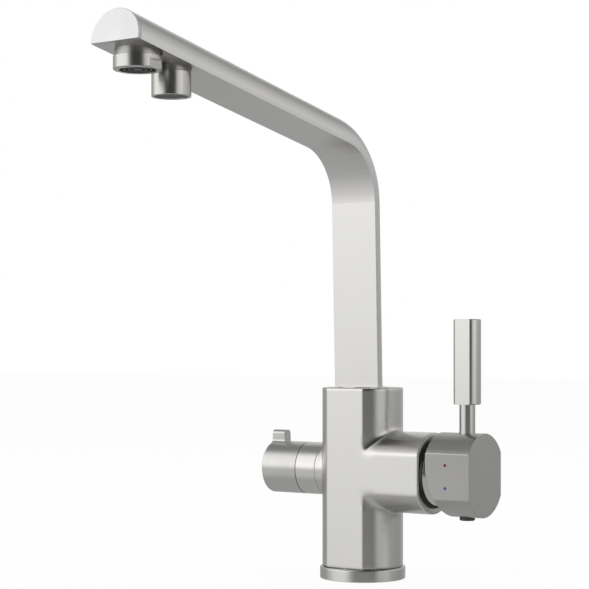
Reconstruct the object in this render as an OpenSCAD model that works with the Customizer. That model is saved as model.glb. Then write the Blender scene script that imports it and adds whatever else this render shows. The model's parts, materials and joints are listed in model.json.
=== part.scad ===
// Three way filtered water tap for a kitchen sink.
// One lever mixes hot and cold water, a small knob opens the filtered water,
// and a swivelling spout carries the two waters to two separate outlets.
// The deck is the plane z = 0 and the spout swivels about the Z axis. The spout
// points to -Y, the mixer lever is on the +X side and the filter knob on the -X side.

/* [Base ring] */
// Diameter of the ring between the body and the deck
ring_d = 50.8; // [50.2:0.2:58]
// Height of the ring
ring_h = 7; // [5:0.5:12]
// Chamfer on the ring's upper edge
ring_chamfer = 0.5; // [0.2:0.1:1.2]
// Width of the rubber seal under the ring
deck_seal_w = 2.6; // [1.6:0.1:3]
// Thickness of the rubber seal under the ring
deck_seal_t = 2; // [1:0.1:3.5]

/* [Body] */
// Diameter of the upright body
body_d = 48; // [48:0.2:50]
// Height of the body's top above the deck
body_top = 113; // [111:0.5:130]
// Distance from the body's axis to its flat front
body_flat = 20.7; // [20.4:0.1:22]
// Radius of the soft edges beside the flat front
flat_edge = 2.5; // [1:0.1:5]
// Chamfer on the body's ends
body_chamfer = 0.5; // [0.2:0.1:1]
// Diameter of the spigot that centres the ring
spigot_d = 38; // [36:0.2:38.4]

/* [Mixer boss] */
// Height of the mixer and filter axis above the deck
axis_h = 63.6; // [61:0.2:66]
// Distance from the spout's axis to the end of the mixer boss
boss_end = 49.1; // [49:0.1:51]
// Diameter of the horizontal mixer boss
boss_d = 47.6; // [47:0.2:47.8]
// Depth of the cartridge chamber from the end of the boss
chamber_depth = 29.1; // [28.6:0.1:30]

/* [Cartridge] */
// Diameter of the ceramic cartridge
cartridge_d = 35; // [34:0.1:35.2]
// Distance from the lever's pivot to the end of the boss
pivot_depth = 3.6; // [3.2:0.1:4]
// Side of the square spindle
spindle_w = 7.5; // [6.5:0.1:7.8]
// Diameter of the pin that the spindle tilts on
pin_d = 3; // [2.4:0.1:3.4]
// Thickness of each ceramic disc
disc_t = 3.4; // [3:0.1:3.6]
// Diameter of the water ports in the cartridge
port_d = 4.8; // [4:0.1:5]
// Distance of the hot and cold ports to each side of the cartridge's axis
port_side = 6.5; // [6.2:0.1:6.8]
// Height of the hot and cold ports above the cartridge's axis
port_up = 4; // [3.6:0.1:4.2]
// Drop of the mixed water port below the cartridge's axis
port_down = 4.5; // [4.2:0.1:5]
// Radius of the cover dome over the cartridge
dome_r = 19.5; // [19.4:0.05:19.6]
// Wall of the cover dome
dome_wall = 1.5; // [1:0.1:1.7]
// Diameter of the dome's hole for the spindle
dome_hole_d = 24.6; // [24.2:0.1:25]
// Height of the black seal ring round the dome
dome_seal_h = 1.5; // [1:0.1:2]

/* [Mixer cap] */
// Diameter of the lever's cap
cap_d = 48.2; // [47.6:0.1:49]
// Distance from the cap's axis to its front and back flats
cap_flat = 20.3; // [20:0.1:21]
// Gap between the boss and the cap
cap_gap = 4.2; // [4:0.1:5]
// Distance from the spout's axis to the cap's end
cap_end = 80.95; // [80:0.1:84]
// Height above the cap's axis at which its sloping edge starts
slope_start = 2; // [1:0.1:4]
// Angle of the sloping edge that makes room for the tilt
slope_angle = 18.2; // [17:0.1:20]
// Diameter of the red and blue marks
mark_d = 1.7; // [1:0.1:3]
// Height of each mark above or below the cap's axis
mark_up = 6.5; // [4:0.1:9]

/* [Lever] */
// Distance from the spout's axis to the lever's axis
lever_x = 69.7; // [69.4:0.1:70.4]
// Diameter of the lever's rod
rod_d = 9.16; // [7:0.02:9.2]
// Height of the lower end of the grip above the deck
grip_bottom = 104; // [96:0.5:112]
// Length of the grip
grip_len = 48.8; // [40:0.2:70]
// Diameter of the grip
grip_d = 15.7; // [13:0.1:18]
// Distance from the grip's axis to its flat
grip_flat = 6.3; // [6:0.1:6.4]
// Depth of the hole in the grip that holds the rod
grip_bore = 30; // [15:0.5:36]
// Diameter of the plug under the cap
plug_d = 8.8; // [6:0.1:9]
// Length of the plug that stands out under the cap
plug_out = 1.8; // [0.5:0.1:3]

/* [Filter valve] */
// Diameter of the valve's collar and of the body's stub
collar_d = 31.4; // [31:0.1:33]
// Distance from the spout's axis to the end of the collar
collar_end = 37.9; // [37.6:0.1:39]
// Distance from the spout's axis to the joint between the stub and the collar
stub_end = 24.4; // [24:0.1:25]
// Diameter of the valve's thread
valve_thread_d = 20.6; // [20:0.1:21]
// Width across the corners of the valve's hexagon
valve_hex = 25.4; // [24:0.1:26]
// Diameter of the valve's spindle
valve_stem_d = 8; // [6:0.1:8.4]

/* [Filter knob] */
// Distance from the spout's axis to the knob's outer end
knob_end = 62.6; // [61:0.1:66]
// Radius of the knob's outer edge
knob_edge = 1; // [0.5:0.1:2]
// Width of the thumb tab along the knob
tab_len = 8.8; // [6:0.1:12]
// Thickness of the thumb tab
tab_t = 6.7; // [5:0.1:9]
// Height of the thumb tab above the knob's round face
tab_h = 6.9; // [5:0.1:10]
// Radius of the thumb tab's upper corners
tab_round = 2.3; // [1:0.1:2.5]
// Radius of the hollow at the thumb tab's foot
tab_fillet = 2; // [1:0.1:2.5]

/* [Spout] */
// Width of the spout's section
spout_w = 29.6; // [29:0.1:30]
// Depth of the spout's section from its flat to its round back
spout_depth = 16.4; // [16.2:0.1:17.4]
// Wall of the spout's tube
spout_wall = 1.5; // [1:0.1:1.8]
// Distance from the swivel axis to the column's flat face
spout_front = 7.57; // [7.2:0.01:8]
// Length of the column along its flat, up to where it would meet the arm
column_len = 136; // [100:0.5:200]
// Length of the arm along its flat, from where it would meet the column
arm_len = 221.3; // [130:0.1:300]
// Angle by which the column leans forward
lean = 1.76; // [0:0.02:3]
// Angle by which the arm rises towards its end
rise = 8.77; // [5:0.01:10]
// Radius of the bend on its flat side
bend_r = 32.6; // [20:0.2:45]
// Thickness of the plate that closes the arm
end_plate_t = 2; // [1:0.1:4]
// Diameter of the shank that turns in the body
shank_d = 25.8; // [25.6:0.1:26.2]
// Diameter of the shank's flange
flange_d = 29.8; // [29.4:0.1:30.4]
// Diameter of the filtered water tube inside the spout
tube_d = 6; // [5:0.1:6.4]
// Wall of the filtered water tube
tube_wall = 1; // [0.5:0.1:1.4]

/* [Outlets] */
// Distance of the mixed water outlet from the spout's end
outlet_setback = 17.8; // [14.5:0.1:26]
// Distance between the axes of the two outlets
outlet_pitch = 26.7; // [23:0.1:32]
// Diameter of the aerator's housing
aerator_d = 24; // [22.4:0.1:25]
// Drop of the aerator's end below the arm
aerator_drop = 8.8; // [8.4:0.1:12]
// Distance from the aerator's axis to its spanner flats
aerator_flat = 11.2; // [10.8:0.1:11.4]
// Diameter of the threaded socket that holds the aerator
aerator_neck_d = 20.8; // [20:0.1:21]
// Diameter of the filtered water outlet
filter_outlet_d = 20; // [19.4:0.1:21]
// Drop of the filtered water outlet's end below the arm
filter_outlet_drop = 14.1; // [13:0.1:18]
// Diameter of the socket of the filtered water outlet
filter_neck_d = 16.4; // [16:0.1:16.8]
// Distance between the holes of the outlet's mesh
mesh_pitch = 1.7; // [1.4:0.1:2.4]
// Diameter of the holes of the outlet's mesh
mesh_hole_d = 0.9; // [0.5:0.1:1.1]

/* [Inlets and fixing] */
// Distance of the hose inlets from the body's axis
inlet_reach = 11.5; // [11.2:0.1:12]
// Diameter of the hose inlets' thread at its crests
inlet_d = 9; // [8:0.1:9.4]
// Depth of the hose inlets
inlet_depth = 14; // [10:0.5:20]
// Diameter of the fixing stud's thread at its crests
stud_d = 6.8; // [5:0.1:7]
// Depth of the fixing stud's hole
stud_depth = 18; // [12:0.5:24]
// Diameter of the water ways in the body
water_way_d = 6; // [5:0.1:6.2]

/* [Hidden] */
$fn = 96;
// Radial room of a part that turns in another, and of a part seated in another
running = 0.05;
seated = 0.05;
// Room between the faces of parts that move past each other
face_gap = 0.3;
// Overrun of cuts past the faces that they open
over = 1;

// Radii that many parts share
body_r = body_d / 2;
boss_r = boss_d / 2;
cap_r = cap_d / 2;
collar_r = collar_d / 2;
rod_r = rod_d / 2;
shank_r = shank_d / 2;
spindle_half = spindle_w / 2;

// Stations along the mixer axis, counted from the spout's axis
chamber_floor = boss_end - chamber_depth;
pivot_x = boss_end - pivot_depth;
cap_start = boss_end + cap_gap;

// Straight pieces and cuts along the mixer and filter axis, from one station to another
module along_x(r, x0, x1) {
  translate([x0, 0, axis_h]) rotate([0, 90, 0]) cylinder(r = r, h = x1 - x0);
}

module ring_along_x(r_out, r_in, x0, x1) {
  difference() {
    along_x(r_out, x0, x1);
    along_x(r_in, x0 - over, x1 + over);
  }
}

// Straight pieces and cuts along an upright axis, from one height to another
module upright(r, z0, z1) {
  translate([0, 0, z0]) cylinder(r = r, h = z1 - z0);
}

module upright_ring(r_out, r_in, z0, z1) {
  difference() {
    upright(r_out, z0, z1);
    upright(r_in, z0 - over, z1 + over);
  }
}

// Round bar from z = 0 to h, with both end edges chamfered
module chamfered_bar(r, h, chamfer) {
  rotate_extrude() polygon([
    [0, 0], [r - chamfer, 0], [r, chamfer], [r, h - chamfer], [r - chamfer, h], [0, h]
  ]);
}

// Round section with a flat towards -Y, whose two edges are arcs that touch the circle and the flat
module flatted_section(r, flat, edge) {
  edge_x = sqrt(pow(r - edge, 2) - pow(flat - edge, 2));
  touch_y = (flat - edge) * r / (r - edge);
  intersection() {
    circle(r);
    translate([-r, -touch_y]) square([2 * r, r + touch_y]);
  }
  for (side = [-1, 1]) translate([side * edge_x, edge - flat]) circle(edge);
  translate([-edge_x, -flat]) square([2 * edge_x, flat]);
}

// Bar of that section from z = 0 to h, with its round end edges chamfered
module flatted_bar(r, flat, edge, h, chamfer) {
  intersection() {
    linear_extrude(h) flatted_section(r, flat, edge);
    chamfered_bar(r + over, h, chamfer + over);
  }
}

// Base ring and its seal

deck_seal_r = (spigot_d / 2 + ring_d / 2) / 2;

module deck_seal_ring(room, t) {
  upright_ring(deck_seal_r + deck_seal_w / 2 + room, deck_seal_r - deck_seal_w / 2 - room, 0, t);
}

module base_ring() color("silver") difference() {
  rotate_extrude() polygon([
    [spigot_d / 2 + seated, 0], [ring_d / 2, 0], [ring_d / 2, ring_h - ring_chamfer],
    [ring_d / 2 - ring_chamfer, ring_h], [spigot_d / 2 + seated, ring_h]
  ]);
  translate([0, 0, -over]) deck_seal_ring(seated, deck_seal_t + over);
}

module deck_seal() color("dimgray") deck_seal_ring(0, deck_seal_t - seated);

// Body with its mixer boss and filter stub. Inside are the cartridge's chamber, the valve's chamber,
// the bore for the spout's shank, the water ways, and the threaded holes in the underside.

nut_seat = 6;
skirt_inset = 0.1;
boss_thread_r = dome_r - skirt_inset;
shoulder_x = boss_end - nut_seat;
chamber_r = cartridge_d / 2 + 2 * seated;

valve_chamber_floor = 7;
valve_chamber_r = valve_thread_d / 2 + seated;
collar_wall = 1.9;
valve_spigot_r = collar_r - collar_wall;
valve_spigot_len = 3.6;
valve_spigot_end = stub_end + valve_spigot_len;

shank_bore_r = shank_r + running;
flange_seat_depth = 4.2;
shank_depth = 25;
shank_floor_gap = 2;
nose_depth = 34.4;
spout_screw_depth = 14.3;
flange_seat = body_top - flange_seat_depth;
nose_r = 6;
nose_bottom = body_top - nose_depth;
shank_bottom = body_top - shank_depth;
shank_bore_floor = shank_bottom - shank_floor_gap;
spout_screw_h = body_top - spout_screw_depth;
spout_screw_r = 2.5;
screw_point_r = 1.9;

way_r = water_way_d / 2;
side_way_r = 2.6;
port_way_r = port_d / 2;
mixed_way_x = 10.2;
inlet_x = sqrt(pow(inlet_reach, 2) - pow(port_side, 2));
filter_way_low = 45;
filter_way_up = 7.3;
filter_feed_x = 1.5;
filter_out_r = 2.2;
filter_port_r = 1.8;

// The ways are drilled, so each one runs a little past the way that it meets
module mixer_ways() {
  for (side = [-1, 1]) {
    translate([inlet_x, side * port_side, 0]) {
      upright(inlet_d / 2, -over, inlet_depth);
      upright(way_r, inlet_depth - over, axis_h + port_up + port_way_r + over);
    }
    translate([0, side * port_side, port_up])
      along_x(port_way_r, inlet_x - way_r - over, chamber_floor + over);
  }
  translate([0, 0, -port_down]) along_x(port_way_r, mixed_way_x - port_way_r - over, chamber_floor + over);
  translate([mixed_way_x, 0, 0])
    upright(port_way_r - seated, axis_h - port_down - port_way_r - over, shank_bore_floor + over);
}

module filter_ways() {
  translate([-inlet_reach, 0, 0]) {
    upright(inlet_d / 2, -over, inlet_depth);
    upright(way_r, inlet_depth - over, filter_way_low + side_way_r + over);
  }
  translate([0, 0, filter_way_low - axis_h])
    along_x(side_way_r, -inlet_reach - way_r - over, way_r - filter_feed_x + over);
  translate([-filter_feed_x, 0, 0])
    upright(way_r, filter_way_low - side_way_r - over, axis_h + side_way_r + over);
  along_x(side_way_r, -valve_chamber_floor - over, way_r - filter_feed_x + over);
  translate([0, 0, filter_way_up]) along_x(filter_port_r, -valve_chamber_floor - over, filter_out_r + over);
  upright(filter_out_r, axis_h + filter_way_up - filter_port_r - over, nose_bottom);
}

module tap_body() color("lightgray") difference() {
  union() {
    translate([0, 0, ring_h]) flatted_bar(body_r, body_flat, flat_edge, body_top - ring_h, body_chamfer);
    translate([0, 0, axis_h]) rotate([0, 90, 0])
      flatted_bar(boss_r, body_flat, flat_edge, boss_end, body_chamfer);
    along_x(collar_r, -stub_end, 0);
    along_x(valve_spigot_r, -valve_spigot_end, 0);
    upright(spigot_d / 2, 0, ring_h + body_chamfer);
  }
  along_x(chamber_r, chamber_floor, boss_end + over);
  along_x(boss_thread_r + seated, shoulder_x, boss_end + over);
  along_x(valve_chamber_r, -valve_spigot_end - over, -valve_chamber_floor);
  upright(flange_d / 2 + face_gap, flange_seat, body_top + over);
  upright(shank_bore_r, shank_bore_floor, body_top);
  upright(nose_r + running, nose_bottom - running, body_top);
  upright(stud_d / 2, -over, stud_depth);
  translate([0, 0, spout_screw_h]) rotate([-90, 0, 0]) cylinder(r = spout_screw_r + seated, h = body_d);
  mixer_ways();
  filter_ways();
}

// Cartridge: seals, housing, two ceramic discs, carrier, turret, pin, spindle and nut

port_places = [[port_side, port_up], [-port_side, port_up], [0, -port_down]];
port_seal_w = 1.2;
port_seal_t = 1.2;
base_t = 5;
housing_start = chamber_floor + seated;
disc_start = chamber_floor + base_t;
housing_wall = 2;
disc_room_r = cartridge_d / 2 - housing_wall;
turret_inset = 3.6;
turret_r = disc_room_r - turret_inset;
neck_wall = 1.4;
neck_r = turret_r + running + neck_wall;
neck_recess = 2.1;
neck_end = boss_end - neck_recess;
carrier_t = 4.5;
carrier_start = disc_start + 2 * disc_t + 2 * running;
carrier_end = carrier_start + carrier_t;
turret_lift = 1.2;
turret_recess = 0.6;
turret_start = carrier_end + turret_lift;
turret_end = boss_end - turret_recess;
ball_r = 2.4;
ball_sink = 1.3;
ball_x = carrier_end - ball_sink;
pocket_floor_t = 0.4;
slide_room = 4.4;
moving_disc_r = disc_room_r - slide_room - face_gap;

// Puts its children at each port, with the X axis pointing out of the chamber's floor
module at_ports() {
  for (place = port_places) translate([0, place[0], place[1]]) children();
}

module cartridge_seals() color("dimgray")
  at_ports() ring_along_x(port_d / 2 + port_seal_w, port_d / 2, chamber_floor, chamber_floor + port_seal_t);

module cartridge_housing() color("ivory") difference() {
  union() {
    along_x(cartridge_d / 2, housing_start, shoulder_x);
    along_x(neck_r, shoulder_x, neck_end);
  }
  at_ports() along_x(port_d / 2, housing_start - over, disc_start + over);
  at_ports() along_x(port_d / 2 + port_seal_w + seated, housing_start - over, chamber_floor + port_seal_t);
  along_x(disc_room_r, disc_start, turret_start);
  along_x(turret_r + running, turret_start - over, neck_end + over);
}

module fixed_disc() color("white") difference() {
  along_x(disc_room_r - seated, disc_start, disc_start + disc_t);
  at_ports() along_x(port_d / 2, disc_start - over, disc_start + disc_t + over);
}

// The pocket joins the ports when the disc slides up
pocket_low = 8.5;
pocket_high = 1;
pocket_half = 5;
pocket_depth_share = 0.6;

module moving_disc() color("white") difference() {
  along_x(moving_disc_r, disc_start + disc_t + running, carrier_start - running);
  translate([disc_start + disc_t, -pocket_half, axis_h - pocket_low])
    cube([disc_t * pocket_depth_share, 2 * pocket_half, pocket_low - pocket_high]);
}

module disc_carrier() color("khaki") difference() {
  along_x(moving_disc_r, carrier_start, carrier_end);
  along_x(ball_r + face_gap, carrier_start + pocket_floor_t, carrier_end + over);
}

// The slot lets the spindle tilt. It is wider on the side that the spindle's ends swing to.
slot_side = spindle_half + face_gap;
slot_low_room = 2.1;
slot_high_room = 2.6;
slot_low = spindle_half + slot_low_room;
slot_high = spindle_half + slot_high_room;

module cartridge_turret() color("khaki") difference() {
  along_x(turret_r, turret_start, turret_end);
  translate([turret_start - over, -slot_side, axis_h - slot_low])
    cube([turret_end - turret_start + 2 * over, 2 * slot_side, slot_low + slot_high]);
  translate([pivot_x, -cartridge_d, axis_h]) rotate([-90, 0, 0])
    cylinder(r = pin_d / 2 + seated, h = 2 * cartridge_d);
}

module spindle_pin() color("gray")
  translate([pivot_x, seated - turret_r, axis_h]) rotate([-90, 0, 0])
    cylinder(r = pin_d / 2, h = 2 * (turret_r - seated));

stem_r = 1.8;
square_back = 5.5;
square_past_lever = 6.3;
stem_end = pivot_x - square_back;
spindle_end = lever_x + square_past_lever;

module lever_spindle() color("gray") difference() {
  union() {
    translate([ball_x, 0, axis_h]) sphere(ball_r);
    along_x(stem_r, ball_x, stem_end + over);
    translate([stem_end, -spindle_half, axis_h - spindle_half])
      cube([spindle_end - stem_end, spindle_w, spindle_w]);
  }
  translate([pivot_x, -spindle_w, axis_h]) rotate([-90, 0, 0])
    cylinder(r = pin_d / 2 + running, h = 2 * spindle_w);
}

skirt_len = 2.4;
dome_start = boss_end - skirt_len;
dome_seal_lap = 0.5;

module cartridge_nut() color("goldenrod")
  ring_along_x(boss_thread_r - seated, neck_r + seated, shoulder_x, dome_start);

// Cover dome round the pivot, with the skirt that screws into the boss, and its seal ring

module dome_ball(r) {
  translate([pivot_x, 0, axis_h]) sphere(r);
}

module dome_shroud() color("gainsboro") translate([pivot_x, 0, axis_h]) rotate([0, 90, 0]) rotate_extrude()
  difference() {
    union() {
      intersection() {
        circle(dome_r);
        translate([0, dome_start - pivot_x]) square([boss_thread_r, 2 * dome_r]);
      }
      translate([0, dome_start - pivot_x]) square([boss_thread_r, boss_end - dome_start]);
    }
    circle(dome_r - dome_wall);
    square([dome_hole_d / 2, 2 * dome_r]);
    translate([0, dome_start - pivot_x - over]) square([dome_r - dome_wall, pivot_x - dome_start + over]);
  }

module dome_seal() color("dimgray") difference() {
  along_x(dome_r + dome_seal_lap, boss_end, boss_end + dome_seal_h);
  dome_ball(dome_r + seated);
}

// Lever: cap, marks, rod, grip, the screw that clamps the spindle, and the plug over the screw

cap_room = 0.4;
cap_room_r = dome_r + cap_room;
cap_edge = 1.2;
cap_chamfer = 0.3;
mark_back = 3.7;
mark_x = lever_x - mark_back;
mark_t = 0.8;
rod_hole_r = rod_r + seated;

module cap_marks(r, t) {
  for (side = [-1, 1]) translate([mark_x, -cap_flat - over, axis_h + side * mark_up])
    rotate([-90, 0, 0]) cylinder(r = r, h = t + over);
}

module cap_section() {
  intersection() {
    flatted_section(cap_r, cap_flat, cap_edge);
    mirror([0, 1]) flatted_section(cap_r, cap_flat, cap_edge);
  }
}

module mixer_cap() color("silver") difference() {
  intersection() {
    translate([cap_start, 0, axis_h]) rotate([0, 90, 0]) linear_extrude(cap_end - cap_start) cap_section();
    translate([cap_start, 0, axis_h]) rotate([0, 90, 0])
      chamfered_bar(cap_r + over, cap_end - cap_start, cap_chamfer + over);
  }
  translate([cap_start, 0, axis_h + slope_start]) rotate([0, -slope_angle, 0])
    translate([-cap_d, -cap_d, -2 * cap_d]) cube([cap_d, 2 * cap_d, 2 * cap_d]);
  dome_ball(cap_room_r);
  translate([pivot_x, -spindle_half - seated, axis_h - spindle_half - seated])
    cube([spindle_end + seated - pivot_x, spindle_w + 2 * seated, spindle_w + 2 * seated]);
  translate([lever_x, 0, axis_h]) upright(rod_hole_r, -cap_d, cap_d);
  cap_marks(mark_d / 2 + seated, mark_t);
}

module mark(side) {
  translate([mark_x, -cap_flat, axis_h + side * mark_up]) rotate([-90, 0, 0])
    cylinder(r = mark_d / 2, h = mark_t);
}

module hot_mark() color("firebrick") mark(1);

module cold_mark() color("midnightblue") mark(-1);

module lever_rod() color("silver") translate([lever_x, 0, 0])
  upright(rod_r, axis_h + spindle_half + seated, grip_bottom + grip_bore - seated);

grip_edge = 0.8;
grip_chamfer = 0.5;

module lever_grip() color("gainsboro") translate([lever_x, 0, grip_bottom]) difference() {
  flatted_bar(grip_d / 2, grip_flat, grip_edge, grip_len, grip_chamfer);
  upright(rod_hole_r, -over, grip_bore);
}

plug_len = 6;
plug_bottom = axis_h - cap_r - plug_out;
plug_chamfer = 0.4;
hex_key = 4.6;
hex_depth = 4;

// Hexagon socket of a clamping screw, as a cut that starts at z = 0
module hex_socket(across, depth) {
  translate([0, 0, -over]) cylinder(d = across / cos(30), h = depth + over, $fn = 6);
}

module clamp_screw() color("dimgray") translate([lever_x, 0, plug_bottom + plug_len]) difference() {
  upright(plug_d / 2, 0, axis_h - spindle_half - seated - plug_bottom - plug_len);
  hex_socket(hex_key, hex_depth);
}

module lever_plug() color("darkslategray") translate([lever_x, 0, plug_bottom])
  chamfered_bar(plug_d / 2, plug_len, plug_chamfer);

// Filtered water valve: rubber seal, two ceramic discs, spindle, brass body and collar

valve_seal_t = 1.2;
valve_seal_r = 5.4;
valve_seal_w = 1;
valve_disc_t = 2;
skirt_room = 1.8;
skirt_wall = 1.3;
valve_skirt_r = valve_thread_d / 2 - skirt_room;
valve_disc_r = valve_skirt_r - skirt_wall;
valve_discs_start = valve_chamber_floor + valve_seal_t;
valve_port_r = 1.4;
valve_port_reach = 2.8;
valve_cup = valve_discs_start + 2 * valve_disc_t + 2 * running;
valve_flange_t = 1.4;
valve_thread_start = valve_cup + valve_flange_t + running;
valve_hex_t = 5;
hex_start = valve_spigot_end;
hex_end = hex_start + valve_hex_t;
valve_neck_r = 7.5;
valve_neck_recess = 0.9;
valve_neck_end = collar_end - valve_neck_recess;
collar_lip = 1.6;
valve_window_half = 2.5;

module valve_seal() color("dimgray")
  ring_along_x(valve_seal_r, valve_seal_r - valve_seal_w, -valve_discs_start, -valve_chamber_floor);

// Two ports opposite each other, turned about the valve's axis
module valve_ports(turn) {
  translate([0, 0, axis_h]) rotate([turn, 0, 0]) translate([0, 0, -axis_h])
    for (side = [-1, 1]) translate([0, side * valve_port_reach, 0])
      along_x(valve_port_r, -valve_cup - over, -valve_discs_start + over);
}

module valve_fixed_disc() color("white") difference() {
  along_x(valve_disc_r - seated, -valve_discs_start - valve_disc_t, -valve_discs_start);
  valve_ports(0);
}

module valve_moving_disc() color("white") difference() {
  along_x(valve_disc_r - running, -valve_cup + running, -valve_discs_start - valve_disc_t - running);
  valve_ports(90);
}

spindle_cover = 9;
spindle_reach = knob_end - spindle_cover;

module valve_spindle() color("goldenrod") {
  along_x(valve_disc_r - running, -valve_thread_start + running, -valve_cup);
  along_x(valve_stem_d / 2, -spindle_reach, -valve_cup);
}

module valve_body() color("goldenrod") difference() {
  union() {
    along_x(valve_skirt_r, -valve_thread_start, -valve_discs_start);
    along_x(valve_thread_d / 2, -hex_start, -valve_thread_start);
    translate([-hex_end, 0, axis_h]) rotate([0, 90, 0])
      cylinder(d = valve_hex, h = hex_end - hex_start, $fn = 6);
    along_x(valve_neck_r, -valve_neck_end, -hex_start);
  }
  along_x(valve_disc_r, -valve_thread_start, -valve_discs_start + over);
  along_x(valve_stem_d / 2 + running, -collar_end - over, -valve_discs_start);
  translate([-valve_cup, -valve_window_half, axis_h - valve_thread_d])
    cube([valve_disc_t, 2 * valve_window_half, 2 * valve_thread_d]);
}

module valve_collar() color("silver") difference() {
  along_x(collar_r, -collar_end, -stub_end - seated);
  along_x(valve_spigot_r + seated, -collar_end + collar_lip, -stub_end + over);
  along_x(valve_neck_r + seated, -collar_end - over, -stub_end);
}

// Filter knob with its thumb tab, hub and clamping screw

knob_gap = 0.4;
knob_start = collar_end + knob_gap;
knob_wall = 2.5;
hub_r = 9.5;
hub_recess = 0.7;
hub_start = knob_start + hub_recess;
knob_end_t = 12.6;
knob_floor = knob_end - knob_end_t;
knob_screw_back = 5;
knob_screw_x = knob_floor - knob_screw_back;
knob_screw_r = 2;
knob_screw_len = hub_r - valve_stem_d / 2 - 2 * seated;
knob_hex_key = 2;
tab_edge_gap = 0.1;

module knob_shell() {
  translate([-knob_start, 0, axis_h]) rotate([0, -90, 0]) rotate_extrude() {
    square([collar_r, knob_end - knob_start - knob_edge]);
    square([collar_r - knob_edge, knob_end - knob_start]);
    translate([collar_r - knob_edge, knob_end - knob_start - knob_edge]) circle(knob_edge);
  }
}

// Outline of the tab across the knob: round corners above, and a hollow at each side of its foot
module tab_section() {
  half = tab_t / 2;
  foot = collar_r - tab_fillet;
  top = collar_r + tab_h;
  brow = sqrt(pow(collar_r, 2) - pow(half + tab_fillet, 2));
  translate([-half, foot]) square([tab_t, top - tab_round - foot]);
  translate([-half + tab_round, foot]) square([tab_t - 2 * tab_round, top - foot]);
  for (side = [-1, 1]) translate([side * (half - tab_round), top - tab_round]) circle(tab_round);
  for (side = [-1, 1]) difference() {
    translate([side * (half + tab_fillet / 2) - tab_fillet / 2, brow - tab_fillet])
      square([tab_fillet, 2 * tab_fillet]);
    translate([side * (half + tab_fillet), brow + tab_fillet]) circle(tab_fillet);
  }
}

module filter_knob() color("silver") difference() {
  union() {
    knob_shell();
    translate([-knob_end + tab_edge_gap, 0, axis_h]) rotate([90, 0, 90])
      linear_extrude(tab_len) tab_section();
  }
  difference() {
    along_x(collar_r - knob_wall, -knob_floor, -knob_start + over);
    along_x(hub_r, -knob_floor - over, -hub_start);
  }
  along_x(valve_stem_d / 2 + seated, -spindle_reach - seated, -knob_start);
  translate([-knob_screw_x, 0, axis_h]) upright(knob_screw_r + seated, -collar_d, 0);
}

module knob_screw() color("dimgray") translate([-knob_screw_x, 0, axis_h - hub_r]) difference() {
  upright(knob_screw_r, 0, knob_screw_len);
  hex_socket(knob_hex_key, knob_hex_key);
}

// Spout. Its flat faces forwards on the column and down on the arm.

spout_r = spout_w / 2;
back_y = spout_depth - spout_r - spout_front;
foot_h = body_top + face_gap;
bend = 90 - rise - lean;
bend_start = bend_r * tan(bend / 2);
joint_lap = 0.2;
joint_ease = 0.02;
flange_t = 2;
flange_bottom = foot_h - flange_t;

// Section of the spout, drawn in from its outside by inset, with the swivel axis at its origin
module spout_section(inset) {
  r = spout_r - inset;
  intersection() {
    translate([0, back_y]) circle(r);
    translate([-r, back_y]) square([2 * r, r]);
  }
  translate([-r, inset - spout_front]) square([2 * r, back_y + spout_front - inset]);
}

// Frame of the column: the Z axis runs up the column
module in_column() {
  translate([0, 0, foot_h]) rotate([lean, 0, 0]) children();
}

// Frame of the arm: the Z axis runs along the arm, from where the arm's flat would meet the column's
module in_arm() {
  in_column() translate([0, -spout_front, column_len]) rotate([bend, 0, 0])
    translate([0, spout_front, 0]) children();
}

// Frame of the bend, in which the bend turns about the Z axis from the X axis
module in_bend() {
  in_column() translate([0, -spout_front - bend_r, column_len - bend_start]) rotate([90, 0, 90]) children();
}

// Whole run of the section from a start along the column to an end along the arm. The two straight
// runs lap into the bend, which is a hair slimmer than they are.
module spout_run(inset, start, arm_end) {
  in_column() translate([0, 0, start])
    linear_extrude(column_len - bend_start - start + joint_lap) spout_section(inset);
  in_bend() rotate_extrude(angle = bend) translate([bend_r + spout_front, 0]) rotate(-90)
    spout_section(inset + joint_ease);
  in_arm() translate([0, 0, bend_start - joint_lap])
    linear_extrude(arm_end - bend_start + joint_lap) spout_section(inset);
}

// Height of the arm's flat underside at a distance in front of the swivel axis
function underside(reach) = foot_h - spout_front * sin(lean) + column_len * cos(lean)
  + (reach - spout_front * cos(lean) - column_len * sin(lean)) * tan(rise);

// Reach of the outlets' axes in front of the swivel axis
mixed_reach = spout_front * cos(lean) + column_len * sin(lean) + arm_len * cos(rise) - outlet_setback;
filter_reach = mixed_reach - outlet_pitch;

module spout_tube() color("lightgray") difference() {
  spout_run(0, -spout_depth, arm_len - end_plate_t);
  spout_run(spout_wall, -2 * spout_depth, arm_len);
  translate([-spout_w, -spout_w, foot_h - spout_w]) cube([2 * spout_w, 2 * spout_w, spout_w]);
  translate([0, -mixed_reach, 0])
    upright(aerator_neck_d / 2 + seated, body_top, underside(mixed_reach) + spout_depth / 2);
  translate([0, -filter_reach, 0])
    upright(filter_neck_d / 2 + seated, body_top, underside(filter_reach) + spout_depth / 2);
}

module spout_end_plate() color("lightgray")
  in_arm() translate([0, 0, arm_len - end_plate_t]) linear_extrude(end_plate_t) spout_section(0);

// Filtered water tube, from the shank to the cup of its outlet socket
tube_foot = 3;
tube_entry = 0.4;
tube_r = tube_d / 2;
cup_wall_reach = filter_reach - filter_neck_d / 2 + tube_entry;
cup_side = (cup_wall_reach - spout_front - column_len * sin(lean)) / cos(rise);

module filtered_water_tube() color("ivory") difference() {
  tube_run(tube_r, tube_foot, cup_side);
  tube_run(tube_r - tube_wall, tube_foot - over, cup_side + over);
}

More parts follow.
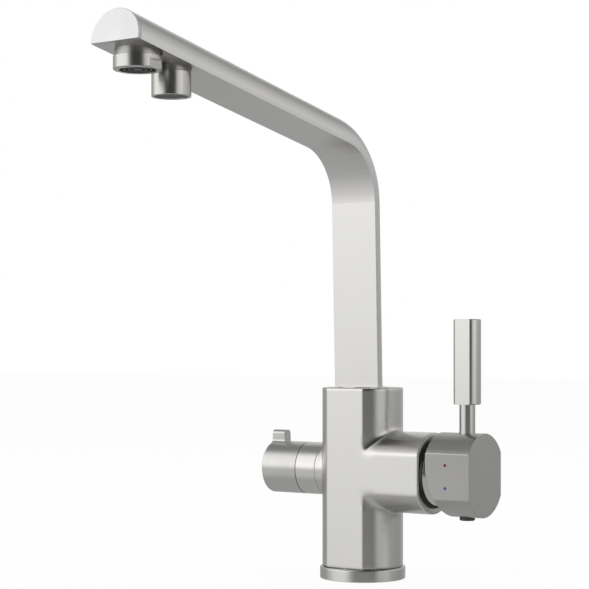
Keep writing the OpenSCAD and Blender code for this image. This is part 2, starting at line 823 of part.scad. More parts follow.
module tube_run(r, start, arm_end) {
  in_column() translate([0, 0, start]) cylinder(r = r, h = column_len - bend_start - start + joint_lap);
  in_bend() rotate_extrude(angle = bend) translate([bend_r + spout_front, 0]) circle(r - joint_ease);
  in_arm() translate([0, 0, bend_start - joint_lap]) cylinder(r = r, h = arm_end - bend_start + joint_lap);
}

// Shank: a plug brazed into the column, a flange, the bearing with its grooves, and the nose
plug_h = 9;
shank_way_r = 2;
shank_way_reach = 8.3;
nose_way_r = tube_r - tube_wall;
screw_groove_w = 2 * screw_point_r + 2 * face_gap;
screw_groove_depth = 1.7;
screw_groove_r = shank_r - screw_groove_depth;
o_ring_r = 1;
upper_ring_depth = 6.6;
lower_ring_depth = 22;
nose_ring_depth = 29.5;
o_ring_heights = [body_top - upper_ring_depth, body_top - lower_ring_depth];
nose_ring_h = body_top - nose_ring_depth;
nose_ring_r = 0.9;

module o_ring_groove(r, ring_r, h) {
  upright_ring(r + over, r - 2 * ring_r, h - ring_r - seated, h + ring_r + seated);
}

module spout_shank() color("goldenrod") difference() {
  union() {
    in_column() linear_extrude(plug_h) spout_section(spout_wall + seated);
    upright(flange_d / 2, flange_bottom, foot_h);
    upright(shank_r, shank_bottom, foot_h);
    upright(nose_r, nose_bottom, foot_h);
  }
  for (h = o_ring_heights) o_ring_groove(shank_r, o_ring_r, h);
  o_ring_groove(nose_r, nose_ring_r, nose_ring_h);
  translate([0, 0, spout_screw_h])
    upright_ring(shank_r + over, screw_groove_r, -screw_groove_w / 2, screw_groove_w / 2);
  upright(nose_way_r, nose_bottom - over, foot_h + tube_foot);
  in_column() upright(tube_r + seated, tube_foot, plug_h + over);
  for (side = [-1, 1]) translate([side * shank_way_reach, 0, 0])
    upright(shank_way_r, shank_bottom - over, foot_h + plug_h + over);
}

module o_ring(r, ring_r, h) {
  translate([0, 0, h]) rotate_extrude() translate([r - ring_r, 0]) circle(ring_r);
}

module spout_o_rings() color("dimgray") {
  for (h = o_ring_heights) o_ring(shank_r, o_ring_r, h);
  o_ring(nose_r, nose_ring_r, nose_ring_h);
}

module spout_glide_ring() color("white")
  upright_ring(flange_d / 2, shank_bore_r, flange_seat, flange_bottom - 2 * running);

screw_head_gap = 1.4;
screw_key = 2.5;

// The screw's point runs in the shank's groove and keeps the spout from lifting
module spout_screw() color("dimgray") translate([0, 0, spout_screw_h]) rotate([-90, 0, 0]) difference() {
  union() {
    upright(spout_screw_r, shank_bore_r + face_gap, body_r - screw_head_gap);
    upright(screw_point_r, screw_groove_r + face_gap, body_r - 2 * screw_head_gap);
  }
  translate([0, 0, body_r - screw_head_gap]) mirror([0, 0, 1]) hex_socket(screw_key, screw_key);
}

// Mixed water outlet: socket in the arm, rubber washer, aerator insert and housing
lip_t = 2.2;
lip_w = 2.8;
lip_r = aerator_d / 2 - lip_w;
insert_flange_t = 1.2;
washer_t = 1.2;
neck_gap = 0.4;
socket_wall = 1.8;
aerator_neck_r = aerator_neck_d / 2;
aerator_end = underside(mixed_reach) - aerator_drop;
socket_start = aerator_end + lip_t + insert_flange_t + washer_t;
housing_top = underside(mixed_reach - aerator_d / 2) - neck_gap;
spanner_h = 4.2;
insert_slot_w = 1.5;
insert_slot_pitch = 2.4;
insert_slot_count = 3;
insert_slot_depth = 2.8;
insert_recess = 0.3;
insert_shoulder = 0.8;
aerator_chamfer = 0.4;
collar_inset = 0.8;

// Wedge that closes the gap between an upright socket's round and the arm's sloping underside
module neck_wedge(reach, r, start) {
  difference() {
    translate([0, -reach, 0]) upright(r, start, underside(reach + r));
    in_arm() translate([-spout_w, -spout_front - seated, 0]) cube([2 * spout_w, 2 * spout_w, 2 * arm_len]);
  }
}

module mixed_outlet_socket() color("silver") difference() {
  union() {
    translate([0, -mixed_reach, 0])
      upright(aerator_neck_r, socket_start, underside(mixed_reach + aerator_d / 2) + socket_wall);
    neck_wedge(mixed_reach, aerator_d / 2 - collar_inset, housing_top + neck_gap / 2);
  }
  translate([0, -mixed_reach, 0])
    upright(aerator_neck_r - socket_wall, socket_start - over, underside(mixed_reach) + aerator_d);
}

module aerator_seal() color("dimgray") translate([0, -mixed_reach, 0])
  upright_ring(aerator_neck_r - 4 * seated, lip_r - 2 * seated, socket_start - washer_t, socket_start);

// Ring slots in the insert's face, one round another
module insert_slots() {
  for (slot = [1 : insert_slot_count])
    upright_ring(
      slot * insert_slot_pitch + insert_slot_w, slot * insert_slot_pitch, -over, insert_slot_depth);
}

module aerator_insert() color("gray") translate([0, -mixed_reach, aerator_end]) difference() {
  union() {
    upright(lip_r - 2 * seated, insert_recess, lip_t);
    upright(aerator_neck_r - 4 * seated, lip_t, lip_t + insert_flange_t);
    upright(lip_r - 4 * seated - insert_shoulder, lip_t, housing_top - aerator_end);
  }
  insert_slots();
}

module aerator_housing() color("silver") translate([0, -mixed_reach, aerator_end]) difference() {
  rotate_extrude() polygon([
    [0, 0], [aerator_d / 2 - aerator_chamfer, 0], [aerator_d / 2, aerator_chamfer],
    [aerator_d / 2, housing_top - aerator_end], [0, housing_top - aerator_end]
  ]);
  upright(lip_r, -over, lip_t + over);
  upright(aerator_neck_r + seated, lip_t, aerator_d);
  for (side = [-1, 1]) translate([side * (aerator_flat + aerator_d / 2), 0, 0])
    translate([-aerator_d / 2, -aerator_d / 2, -over]) cube([aerator_d, aerator_d, spanner_h + over]);
}

// Filtered water outlet: socket with a closed cup inside the arm, rubber ring, mesh and sleeve
filter_end = underside(filter_reach) - filter_outlet_drop;
mesh_recess = 0.6;
mesh_t = 0.5;
mesh_rim = 1.4;
mesh_r = filter_outlet_d / 2 - mesh_rim;
filter_seal_t = 1.6;
filter_socket_start = filter_end + mesh_recess + mesh_t + filter_seal_t;
sleeve_top = underside(filter_reach - filter_outlet_d / 2) - neck_gap;
cup_h = 11;
cup_wall = 1.3;
cup_top = underside(filter_reach) + cup_h;

module filter_outlet_socket() color("silver") difference() {
  union() {
    translate([0, -filter_reach, 0]) upright(filter_neck_d / 2, filter_socket_start, cup_top);
    neck_wedge(filter_reach, filter_outlet_d / 2 - collar_inset / 2, sleeve_top + neck_gap / 2);
  }
  translate([0, -filter_reach, 0])
    upright(filter_neck_d / 2 - cup_wall, filter_socket_start - over, cup_top - cup_wall);
  in_arm() upright(tube_r + seated, cup_side - filter_neck_d / 2, cup_side + cup_wall * 2);
}

module filter_outlet_seal() color("dimgray")
  translate([0, -filter_reach, filter_socket_start - filter_seal_t])
    upright_ring(filter_neck_d / 2, filter_neck_d / 2 - cup_wall, 0, filter_seal_t);

mesh_rows = floor((mesh_r - mesh_pitch) / mesh_pitch);

module filter_mesh() color("gray") translate([0, -filter_reach, filter_end + mesh_recess]) difference() {
  upright(mesh_r - seated, 0, mesh_t);
  for (row = [-mesh_rows : mesh_rows], place = [-mesh_rows : mesh_rows]) {
    x = (place + row / 2) * mesh_pitch;
    y = row * mesh_pitch * sin(60);
    if (norm([x, y]) < mesh_r - mesh_pitch)
      translate([x, y, 0]) upright(mesh_hole_d / 2, -over, mesh_t + over);
  }
}

module filter_outlet_sleeve() color("silver") translate([0, -filter_reach, 0]) difference() {
  upright(filter_outlet_d / 2, filter_end, sleeve_top);
  upright(mesh_r, filter_end - over, filter_end + mesh_recess + mesh_t);
  upright(filter_neck_d / 2 + seated, filter_end, sleeve_top + over);
}

base_ring();
deck_seal();
tap_body();
cartridge_seals();
cartridge_housing();
fixed_disc();
moving_disc();
disc_carrier();
cartridge_turret();
spindle_pin();
lever_spindle();
cartridge_nut();
dome_shroud();
dome_seal();
mixer_cap();
hot_mark();
cold_mark();
lever_rod();
lever_grip();
clamp_screw();
lever_plug();
valve_seal();
valve_fixed_disc();
valve_moving_disc();
valve_spindle();
valve_body();
valve_collar();
filter_knob();
knob_screw();
spout_glide_ring();
spout_screw();
spout_shank();
spout_o_rings();
spout_tube();
spout_end_plate();
filtered_water_tube();
mixed_outlet_socket();
aerator_seal();
aerator_insert();
aerator_housing();
filter_outlet_socket();
filter_outlet_seal();
filter_mesh();
filter_outlet_sleeve();
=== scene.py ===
"""A three way filtered water tap in satin nickel, standing on a pale floor."""

import json
from math import cos, hypot, pi, radians, sin

import bmesh
import bpy
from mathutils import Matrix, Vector

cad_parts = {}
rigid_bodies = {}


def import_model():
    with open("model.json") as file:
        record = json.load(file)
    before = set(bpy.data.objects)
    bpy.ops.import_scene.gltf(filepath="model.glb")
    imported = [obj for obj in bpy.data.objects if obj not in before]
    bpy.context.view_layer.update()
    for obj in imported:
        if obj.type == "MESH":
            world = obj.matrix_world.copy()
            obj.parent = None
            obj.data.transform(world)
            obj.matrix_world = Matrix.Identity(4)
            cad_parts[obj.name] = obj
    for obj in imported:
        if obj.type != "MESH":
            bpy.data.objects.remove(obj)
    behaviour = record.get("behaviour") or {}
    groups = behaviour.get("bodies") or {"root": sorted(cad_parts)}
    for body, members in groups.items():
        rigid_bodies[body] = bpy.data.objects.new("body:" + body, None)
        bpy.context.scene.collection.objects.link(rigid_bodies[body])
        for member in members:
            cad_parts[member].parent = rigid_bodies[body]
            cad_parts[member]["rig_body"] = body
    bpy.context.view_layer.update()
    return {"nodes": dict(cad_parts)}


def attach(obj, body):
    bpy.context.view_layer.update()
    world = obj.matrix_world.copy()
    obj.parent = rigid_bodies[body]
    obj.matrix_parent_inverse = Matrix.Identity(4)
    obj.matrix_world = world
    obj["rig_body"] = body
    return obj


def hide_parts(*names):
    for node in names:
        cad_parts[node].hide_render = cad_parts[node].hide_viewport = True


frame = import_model()


# Base ring: turned from brass, nickel plated and brushed round its axis with a fine wheel.
# It is a loose ring under the body, with its edges just eased, so a thin dark line shows above it.
# The lines run level, so what it mirrors is drawn out up and down and stays crisp sideways.

nodes = frame["nodes"]
mm = 0.001


def linear(hex_colour):
    """The linear colour of an sRGB hex value."""
    parts = [int(hex_colour[i:i + 2], 16) / 255 for i in (1, 3, 5)]
    return [p / 12.92 if p <= 0.04045 else ((p + 0.055) / 1.055) ** 2.4 for p in parts] + [1]


def add(tree, kind, links=None, **settings):
    """A shader node with its settings, and its inputs linked or set by name or number."""
    made = tree.nodes.new("ShaderNode" + kind)
    for name, value in settings.items():
        setattr(made, name, value)
    for name, value in (links or {}).items():
        if isinstance(value, bpy.types.NodeSocket):
            tree.links.new(value, made.inputs[name])
        else:
            made.inputs[name].default_value = value
    return made


def start(name):
    """A new material, its node tree and its Principled node."""
    material = bpy.data.materials.new(name)
    material.use_nodes = True
    return material, material.node_tree, material.node_tree.nodes["Principled BSDF"]


nickel_colour = "#CECDCA"
line_pitch = 0.3 * mm
line_length = 20 * mm
line_height = 0.01 * mm
clouds_per_metre = 45


def brushed_nickel(name, fine, draw, rough=0.3, pull=0.75, colour=nickel_colour, grain=1.0):
    """Nickel plate brushed one way. fine names the axes that the lines are fine along. draw
    turns the object coordinates and the normal into the direction that reflections are drawn out in,
    and pull says how far. grain says how much the lines show. They are drawn coarser than the real
    ones, which lie under 0.1 mm apart and wouldn't show."""
    rough_change = 0.03 * grain
    material, tree, surface = start(name)
    place = add(tree, "TexCoord")
    scale = [1 / line_pitch if axis in fine else 1 / line_length for axis in "xyz"]
    stretched = add(tree, "Mapping", {"Vector": place.outputs["Object"], "Scale": scale})
    lines = add(tree, "TexNoise", {"Vector": stretched.outputs[0], "Scale": 1.0, "Detail": 3.0})
    cloud = add(tree, "TexNoise", {"Vector": place.outputs["Object"], "Scale": clouds_per_metre,
                                   "Detail": 2.0})
    mixed = add(tree, "Math", {0: lines.outputs["Fac"], 1: cloud.outputs["Fac"]}, operation="ADD")
    shine = add(tree, "MapRange", {"Value": mixed.outputs[0], "From Min": 0.7, "From Max": 1.3,
                                   "To Min": rough - rough_change, "To Max": rough + rough_change})
    bump = add(tree, "Bump", {"Height": lines.outputs["Fac"], "Strength": 0.03 * grain,
                              "Distance": line_height})
    drawn = add(tree, "VectorTransform", {"Vector": draw(tree, place)}, vector_type="VECTOR",
                convert_from="OBJECT", convert_to="WORLD")
    tree.links.new(shine.outputs[0], surface.inputs["Roughness"])
    tree.links.new(bump.outputs[0], surface.inputs["Normal"])
    tree.links.new(drawn.outputs[0], surface.inputs["Tangent"])
    surface.inputs["Base Color"].default_value = linear(colour)
    surface.inputs["Metallic"].default_value = 1
    surface.inputs["Anisotropic"].default_value = pull
    return material


def drawn_upwards(tree, place):
    """Up and down on upright faces, and along the mixer axis on faces that look up or down."""
    parts = add(tree, "SeparateXYZ", {"Vector": place.outputs["Normal"]})
    level = add(tree, "Math", {0: parts.outputs["Z"]}, operation="ABSOLUTE")
    rest = add(tree, "Math", {0: 1.0, 1: level.outputs[0]}, operation="SUBTRACT")
    return add(tree, "CombineXYZ", {"X": level.outputs[0], "Z": rest.outputs[0]}).outputs[0]


merge_reach = 0.002 * mm
flat_degrees = 0.3
sharp_degrees = 30
crease_degrees = 40
under_all = -1


def eased(node, material, width, wide=0, above=0):
    """A copy of a CAD node with its sharp edges eased to a small round, as polishing leaves them.
    Edges that lie wholly above a height get a wide round first."""
    mesh = nodes[node].data.copy()
    mesh.name = node + "_eased"
    shape = bmesh.new()
    shape.from_mesh(mesh)
    bmesh.ops.remove_doubles(shape, verts=shape.verts, dist=merge_reach)
    bmesh.ops.dissolve_limit(shape, angle_limit=radians(flat_degrees), verts=shape.verts, edges=shape.edges)
    for offset, floor in ((wide, above), (width, under_all)):
        edges = [edge for edge in shape.edges
                 if len(edge.link_faces) == 2 and edge.calc_face_angle() > radians(sharp_degrees)
                 and min(vertex.co.z for vertex in edge.verts) > floor]
        if offset:
            bmesh.ops.bevel(shape, geom=edges, offset=offset, offset_type="OFFSET", affect="EDGES",
                            segments=3, profile=0.5, material=-1, clamp_overlap=True)
    for face in shape.faces:
        face.smooth = True
    shape.to_mesh(mesh)
    shape.free()
    mesh.set_sharp_from_angle(angle=radians(crease_degrees))
    mesh.materials.clear()
    mesh.materials.append(material)
    piece = bpy.data.objects.new(node + "_eased", mesh)
    bpy.context.scene.collection.objects.link(piece)
    weighted = piece.modifiers.new("even_faces", "WEIGHTED_NORMAL")
    weighted.keep_sharp = True
    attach(piece, nodes[node]["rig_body"])
    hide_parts(node)
    return piece


brushed_level = brushed_nickel("nickel_brushed_level", "z", drawn_upwards)
eased("base_ring", brushed_level, width=0.3 * mm)


# Seals: moulded black rubber rings at the deck, dome, cartridge, valve, spout bearing and outlets.
# Rubber from a polished mould is nearly smooth, with a soft grey sheen.

spot_pitch = 0.6 * mm
spot_height = 0.02 * mm


def even_finish(name, colour, rough, metallic=0.0):
    """A material of one colour, with the faint unevenness in tone, gloss and level that its making leaves,
    in spots about spot_pitch apart."""
    rough_change = 0.06
    dark_share = 0.9
    material, tree, surface = start(name)
    place = add(tree, "TexCoord").outputs["Object"]
    spots = add(tree, "TexNoise", {"Vector": place, "Scale": 1 / spot_pitch, "Detail": 3.0}).outputs["Fac"]
    shine = add(tree, "MapRange", {"Value": spots, "From Min": 0.3, "From Max": 0.7,
                                   "To Min": rough - rough_change, "To Max": rough + rough_change})
    dark = [dark_share * part for part in linear(colour)[:3]] + [1]
    tone = add(tree, "Mix", {0: spots, "A": dark, "B": linear(colour)}, data_type="RGBA")
    bump = add(tree, "Bump", {"Height": spots, "Strength": 0.1, "Distance": spot_height})
    tree.links.new(tone.outputs["Result"], surface.inputs["Base Color"])
    tree.links.new(shine.outputs[0], surface.inputs["Roughness"])
    tree.links.new(bump.outputs[0], surface.inputs["Normal"])
    surface.inputs["Metallic"].default_value = metallic
    return material


def finish_nodes(material, *names):
    """Gives CAD nodes their material."""
    for name in names:
        nodes[name].data.materials.clear()
        nodes[name].data.materials.append(material)


rubber = even_finish("black_moulded_rubber", "#1C1C1B", rough=0.5)
finish_nodes(rubber, "deck_seal", "cartridge_seals", "dome_seal", "valve_seal", "spout_o_rings",
             "aerator_seal", "filter_outlet_seal")


# Body: one brass casting with a side boss and a stub, its front ground flat, plated and brushed level.
# Polishing leaves the edges round and the valleys between upright and boss softly hollowed.
# The stub is brushed round its own axis, so its highlight runs along it.

upright_radius = 24 * mm
boss_radius = 23.8 * mm
stub_radius = 15.7 * mm
stub_end = -24.4 * mm
axis_height = 63.6 * mm
remesh_cell = 0.75 * mm
valley_reach = 6 * mm
valley_fade = 3 * mm
rim_depth = 1.3 * mm
rim_length = 1.1 * mm
end_depth = 0.5 * mm
stub_clear = 0.2 * mm

body = eased("tap_body", brushed_level, width=0.3 * mm)
body.modifiers.clear()
cast = body.modifiers.new("cast", "REMESH")
cast.mode = "VOXEL"
cast.voxel_size = remesh_cell
cast.use_smooth_shade = True
body.data = bpy.data.meshes.new_from_object(body.evaluated_get(bpy.context.evaluated_depsgraph_get()))
body.modifiers.clear()

# The remesh blunts the stub's rim, so its vertices go back out to the turned radius and end.
valley = body.vertex_groups.new(name="valley")
edges = body.vertex_groups.new(name="edges")
for vertex in body.data.vertices:
    x, y, z = vertex.co
    round_mixer = hypot(y, z - axis_height)
    off = max(abs(hypot(x, y) - upright_radius), abs(round_mixer - boss_radius))
    if x > 0 and off < valley_reach:
        valley.add([vertex.index], min(1, (valley_reach - off) / valley_fade), "REPLACE")
    if x > stub_end + rim_length:
        edges.add([vertex.index], 1, "REPLACE")
    elif round_mixer > stub_radius - rim_depth:
        out = stub_radius / round_mixer
        end = stub_end if x < stub_end + end_depth else x
        vertex.co = (end, y * out, axis_height + (z - axis_height) * out)
for name, group, times in (("worn_edges", "edges", 2), ("worn_valley", "valley", 40)):
    worn = body.modifiers.new(name, "SMOOTH")
    worn.factor = 0.5
    worn.iterations = times
    worn.vertex_group = group


def drawn_along_mixer(tree, place):
    """Along the mixer axis, and up and down on faces square to it."""
    parts = add(tree, "SeparateXYZ", {"Vector": place.outputs["Normal"]})
    square = add(tree, "Math", {0: parts.outputs["X"]}, operation="ABSOLUTE")
    rest = add(tree, "Math", {0: 1.0, 1: square.outputs[0]}, operation="SUBTRACT")
    return add(tree, "CombineXYZ", {"X": rest.outputs[0], "Z": square.outputs[0]}).outputs[0]


brushed_along = brushed_nickel("nickel_brushed_round_mixer_axis", "x", drawn_along_mixer)
body.data.materials.append(brushed_along)
for face in body.data.polygons:
    if face.center.x < 0 and face.center.xy.length > upright_radius + stub_clear:
        face.material_index = 1


# Cartridge: moulded acetal housing, turret and carrier, lapped alumina discs, and a turned brass nut.
# Acetal is pale and waxy, alumina white with a fine sheen, and bare brass keeps its turning's shine.
# Its pin and the screw in the cap are plain stainless steel, greyer and a little duller.

acetal = even_finish("moulded_acetal", "#E4E1D8", rough=0.4)
finish_nodes(acetal, "cartridge_housing", "disc_carrier", "cartridge_turret")
alumina = even_finish("lapped_alumina", "#EDECE8", rough=0.2)
finish_nodes(alumina, "fixed_disc", "moving_disc", "valve_fixed_disc", "valve_moving_disc")
brass = even_finish("turned_brass", "#B5975A", rough=0.3, metallic=1.0)
finish_nodes(brass, "cartridge_nut", "lever_spindle")
steel = even_finish("plain_stainless_steel", "#8E8E8C", rough=0.35, metallic=1.0)
finish_nodes(steel, "spindle_pin", "clamp_screw")


# Dome: spun brass shell round the lever's pivot, nickel plated and polished brighter than the rest.
# It shows as a silver band in the gap between boss and cap.

polished = brushed_nickel("nickel_polished_dome", "x", drawn_along_mixer, rough=0.2, pull=0.3)
finish_nodes(polished, "dome_shroud")


# Mixer cap: brass bar with two flats, plated and brushed round the mixer axis.
# On the front flat the lines stand upright, so the cap mirrors less of the front light than the body.

brushed_cap = brushed_nickel("nickel_brushed_round_cap", "x", drawn_along_mixer,
                             rough=0.4, pull=0.9, colour="#C2C1BE")
eased("mixer_cap", brushed_cap, width=0.3 * mm)


# Marks: small pits drilled in the cap's front flat and filled with enamel, red above blue.
# The enamel is flush and glossy, so each mark is a small dark dot with a clear colour.

finish_nodes(even_finish("red_enamel", "#66262A", rough=0.3), "hot_mark")
finish_nodes(even_finish("blue_enamel", "#1D4F8A", rough=0.3), "cold_mark")


# Lever: turned rod and a grip with one flat, both plated and brushed finely round the upright.
# The finer lines leave it brighter than the body, with crisper edges to what it mirrors.
# A dark nylon plug closes the hole of the clamping screw from below.

fine_level = brushed_nickel("nickel_finely_brushed_level", "z", drawn_upwards,
                            rough=0.2, pull=0.7, grain=0.3)
finish_nodes(fine_level, "lever_rod")
eased("lever_grip", fine_level, width=0.2 * mm)
finish_nodes(even_finish("grey_moulded_nylon", "#3A3A3A", rough=0.5), "lever_plug")


# Filter valve: turned brass body and spindle, screwed into the stub behind a plated collar.
# The collar is brushed round the mixer axis like the stub, so one highlight runs along both.

finish_nodes(brass, "valve_body", "valve_spindle")
eased("valve_collar", brushed_along, width=0.12 * mm)


# Filter knob: turned brass with a milled thumb tab, plated and brushed round its axis.
# It is brushed less finely than the collar, so it mirrors more softly. The tab's corners are rounded.

corners_above = 81 * mm
corner_round = 1.3 * mm
brushed_knob = brushed_nickel("nickel_brushed_knob", "x", drawn_along_mixer,
                              rough=0.36, pull=0.75, colour="#CBCAC7")
eased("filter_knob", brushed_knob, width=0.25 * mm, wide=corner_round, above=corners_above)
finish_nodes(steel, "knob_screw")


# Spout bearing: turned and plated shank on an acetal glide ring, kept down by a steel screw.
# The plug on its top fills the foot of the spout, and its O-rings seal it in the body.

finish_nodes(brushed_level, "spout_shank")
finish_nodes(acetal, "spout_glide_ring")
finish_nodes(steel, "spout_screw")


# Spout: drawn D section tube with one bend, closed by a welded plate, plated and brushed crosswise.
# What the tube mirrors is drawn out along it, so its flat keeps one even tone up to the bend.
# The plate is brushed upright, which leaves it paler than the flat.

bend_start = -10 * mm
bend_end = -45 * mm
arm_forward = -0.99
arm_rise = 0.15


def drawn_along_spout(tree, place):
    """Up the column, and along the arm after the bend."""
    parts = add(tree, "SeparateXYZ", {"Vector": place.outputs["Object"]})
    share = add(tree, "MapRange", {"Value": parts.outputs["Y"], "From Min": bend_start,
                                   "From Max": bend_end, "To Min": 0.0, "To Max": 1.0})
    forward = add(tree, "Math", {0: share.outputs[0], 1: arm_forward}, operation="MULTIPLY")
    upward = add(tree, "MapRange", {"Value": share.outputs[0], "To Min": 1.0, "To Max": arm_rise})
    return add(tree, "CombineXYZ", {"Y": forward.outputs[0], "Z": upward.outputs[0]}).outputs[0]


brushed_crosswise = brushed_nickel("nickel_brushed_across_spout", "yz", drawn_along_spout,
                                   colour="#D1D0CE")
finish_nodes(brushed_crosswise, "spout_tube")
brushed_end = brushed_nickel("nickel_brushed_end_plate", "x", drawn_along_mixer,
                             rough=0.38, pull=0.8, colour="#D3D3D3")
eased("spout_end_plate", brushed_end, width=0.25 * mm)
finish_nodes(acetal, "filtered_water_tube")


# Mixed water outlet: turned and plated housing with two milled spanner flats, on a plated socket.
# Fine turning lines leave the housing an even silver. The socket is a little rougher, and its darker grey is
# painted shade under the spout's arm.
# The insert is moulded in dark acetal with ring slots, nearly black inside the bright rim.

turned_bright = brushed_nickel("nickel_turned_bright", "z", drawn_upwards,
                               rough=0.3, pull=0.3, colour="#BDBCB9", grain=0.3)
eased("aerator_housing", turned_bright, width=0.2 * mm)
# Painted shade: the socket's darker colour stands in for the shade that the spout's arm casts on the tops of
# the outlets.
painted_shade_socket = brushed_nickel("nickel_socket_painted_shade", "z", drawn_upwards,
                             rough=0.34, pull=0.3, colour="#A4A3A1", grain=0.3)
finish_nodes(painted_shade_socket, "mixed_outlet_socket")
finish_nodes(even_finish("dark_moulded_acetal", "#3B3B3D", rough=0.45), "aerator_insert")


# Filtered water outlet: turned and plated sleeve, on a socket of the same kind, closed by a woven mesh.
# The mesh is of stainless wire, drawn as a grey grid whose gaps are painted near black, as painted shade of
# the dark inside seen through the holes.
# Its wires are drawn 2 mm apart, coarser than real ones, so that they show.

weave_pitch = 2 * mm
wire_height = 0.2 * mm
wave_radians_per_unit = 20

eased("filter_outlet_sleeve", turned_bright, width=0.2 * mm)
finish_nodes(painted_shade_socket, "filter_outlet_socket")
woven, tree, surface = start("woven_stainless_wire")
place = add(tree, "TexCoord").outputs["Object"]
wave_scale = 2 * pi / (wave_radians_per_unit * weave_pitch)
waves = [add(tree, "TexWave", {"Vector": place, "Scale": wave_scale}, bands_direction=way) for way in "XY"]
gaps = add(tree, "Math", {0: waves[0].outputs["Fac"], 1: waves[1].outputs["Fac"]}, operation="MULTIPLY")
# The gaps' near black is painted shade of the holes, not a colour of the wire.
shade = add(tree, "Mix", {0: gaps.outputs[0], "A": linear("#7C7B79"), "B": linear("#0C0C0C")},
            data_type="RGBA")
weave = add(tree, "Bump", {"Height": gaps.outputs[0], "Strength": 0.5, "Distance": wire_height}, invert=True)
tree.links.new(shade.outputs["Result"], surface.inputs["Base Color"])
tree.links.new(weave.outputs[0], surface.inputs["Normal"])
surface.inputs["Metallic"].default_value = 1
surface.inputs["Roughness"].default_value = 0.45
finish_nodes(woven, "filter_mesh")


# Floor: a wide sheet of matt white paper, which keeps the tap's soft shadow.
# The camera sees it almost pure white, and the metal mirrors the studio's lower half through it.

floor_half = 6
white_share = 0.95

mesh = bpy.data.meshes.new("floor")
shape = bmesh.new()
bmesh.ops.create_grid(shape, x_segments=1, y_segments=1, size=floor_half)
shape.to_mesh(mesh)
shape.free()
floor = bpy.data.objects.new("floor", mesh)
scene = bpy.context.scene
scene.collection.objects.link(floor)

paper, tree, surface = start("white_paper")
surface.inputs["Base Color"].default_value = linear("#F4F4F4")
surface.inputs["Roughness"].default_value = 0.9
ray = add(tree, "LightPath")
white = add(tree, "Emission", {"Color": linear("#FFFFFF"), "Strength": 1.0})
paled = add(tree, "MixShader", {0: white_share, 1: surface.outputs[0], 2: white.outputs[0]})
seen = add(tree, "MixShader", {0: ray.outputs["Is Camera Ray"], 1: surface.outputs[0], 2: paled.outputs[0]})
clear = add(tree, "BsdfTransparent")
mirrored = add(tree, "MixShader", {0: ray.outputs["Is Glossy Ray"], 1: seen.outputs[0], 2: clear.outputs[0]})
tree.links.new(mirrored.outputs[0], tree.nodes["Material Output"].inputs["Surface"])
floor.data.materials.append(paper)


# Lamps: two square soft boxes, one in front on the left and one overhead, both turned to the tap.
# They light all but the metal's mirror image, which the studio below gives.

tap_middle = Vector((0, -0.05, 0.15))


def soft_lamp(name, place, power):
    """A square soft box with sides of 1 m that faces the tap."""
    data = bpy.data.lights.new(name, "AREA")
    data.size = 1.0
    data.energy = power
    lamp = bpy.data.objects.new(name, data)
    lamp.location = place
    lamp.rotation_euler = (tap_middle - Vector(place)).to_track_quat("-Z", "Y").to_euler()
    lamp.visible_glossy = False
    scene.collection.objects.link(lamp)


soft_lamp("key_lamp", (-1.3, -1.6, 0.9), power=16)
soft_lamp("top_lamp", (0.2, 0.2, 1.7), power=8)


# Studio: the grey room that the metal mirrors, darker overhead than at eye level and below.
# Soft boxes stand round the tap, and dark cards between them. The darkest card is at the camera
# and gives round pieces their dark middle. The camera itself sees plain white.

fill_strength = 0.6
darkest = 0.01
half_fade = 8

scene.view_settings.view_transform = "Standard"
world = bpy.data.worlds.new("studio")
scene.world = world
world.use_nodes = True
tree = world.node_tree
look = add(tree, "TexCoord").outputs["Generated"]
parts = add(tree, "SeparateXYZ", {"Vector": look})
height = parts.outputs["Z"]
flattened = add(tree, "CombineXYZ", {"X": parts.outputs["X"], "Y": parts.outputs["Y"]}).outputs[0]
heading = add(tree, "VectorMath", {0: flattened}, operation="NORMALIZE").outputs[0]
level = add(tree, "MapRange", {"Value": height, "From Min": 0.1, "From Max": 0.7,
                               "To Min": 0.52, "To Max": 0.3}, interpolation_type="SMOOTHSTEP").outputs[0]


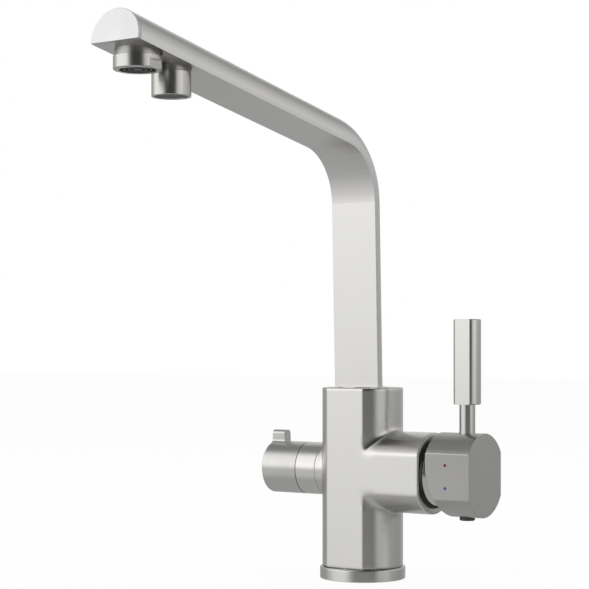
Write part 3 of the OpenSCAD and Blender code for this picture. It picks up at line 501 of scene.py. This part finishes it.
def soft_box(level, turn, core, edge, low, high, strength):
    """Adds a soft box to the mirrored room, or a dark card with a strength below 0. Angles are in
    degrees: turn from the front towards the right, its half width to where it starts and ends to fade,
    and the heights between which it stands, each with a fade of half_fade to both sides."""
    aim = (sin(radians(turn)), -cos(radians(turn)), 0)
    facing = add(tree, "VectorMath", {0: heading, 1: aim}, operation="DOT_PRODUCT").outputs["Value"]
    limits = ((facing, cos(radians(edge)), cos(radians(core))),
              (height, sin(radians(low - half_fade)), sin(radians(low + half_fade))),
              (height, sin(radians(high + half_fade)), sin(radians(high - half_fade))))
    across, over, under = [add(tree, "MapRange", {"Value": value, "From Min": gone, "From Max": full},
                               interpolation_type="SMOOTHSTEP").outputs[0] for value, gone, full in limits]
    tall = add(tree, "Math", {0: over, 1: under}, operation="MULTIPLY").outputs[0]
    box = add(tree, "Math", {0: across, 1: tall}, operation="MULTIPLY").outputs[0]
    return add(tree, "Math", {0: box, 1: strength, 2: level}, operation="MULTIPLY_ADD").outputs[0]


for turn, core, edge, low, high, strength in (
        (-42, 26, 44, 2, 52, 1.28),       # key light, front left
        (-36, 12, 32, -34, 4, 0.28),      # its gleam on the table
        (86, 14, 26, 0, 34, 0.72),        # side light, right
        (114, 10, 26, 6, 40, 0.5),        # side light, right and a little behind
        (150, 12, 34, 8, 45, 0.3),        # rim light, right behind
        (140, 14, 45, -60, -4, -0.22),    # dark table, right behind
        (-108, 16, 40, -40, 22, -0.12),   # dark card, left
        (80, 12, 30, -70, -10, -0.2),     # dark table, right
        (36, 22, 44, -4, 60, -0.57),      # dark card, at the camera
        (214, 10, 26, 8, 50, 0.45),       # back light
        (268, 10, 24, 4, 40, 0.3)):       # rim light, left
    level = soft_box(level, turn, core, edge, low, high, strength)
level = add(tree, "Math", {0: level, 1: darkest}, operation="MAXIMUM").outputs[0]

ray = add(tree, "LightPath")
lit = add(tree, "MapRange", {"Value": ray.outputs["Is Glossy Ray"], "To Min": fill_strength,
                             "To Max": level})
seen = add(tree, "Math", {0: ray.outputs["Is Camera Ray"], 1: ray.outputs["Is Transmission Ray"]},
           operation="MAXIMUM")
glow = add(tree, "MapRange", {"Value": seen.outputs[0], "To Min": lit.outputs[0], "To Max": 1.0})
background = tree.nodes["Background"]
background.inputs["Color"].default_value = linear("#FFFFFF")
tree.links.new(glow.outputs[0], background.inputs["Strength"])


# Camera: level, a little above the body, about 1 m off and 33 degrees round to the right.
# Its place and lens were solved from the outlines of body, spout and outlets.

camera_data = bpy.data.cameras.new("camera")
camera_data.lens = 98.89
camera_data.sensor_width = 36
camera_data.shift_y = 0.093
camera_data.clip_start = 0.05
camera_data.clip_end = 50
camera = bpy.data.objects.new("camera", camera_data)
camera.location = (0.4961, -0.8277, 0.1356)
camera.rotation_euler = (radians(90), 0, radians(33.353))
scene.collection.objects.link(camera)
scene.camera = camera
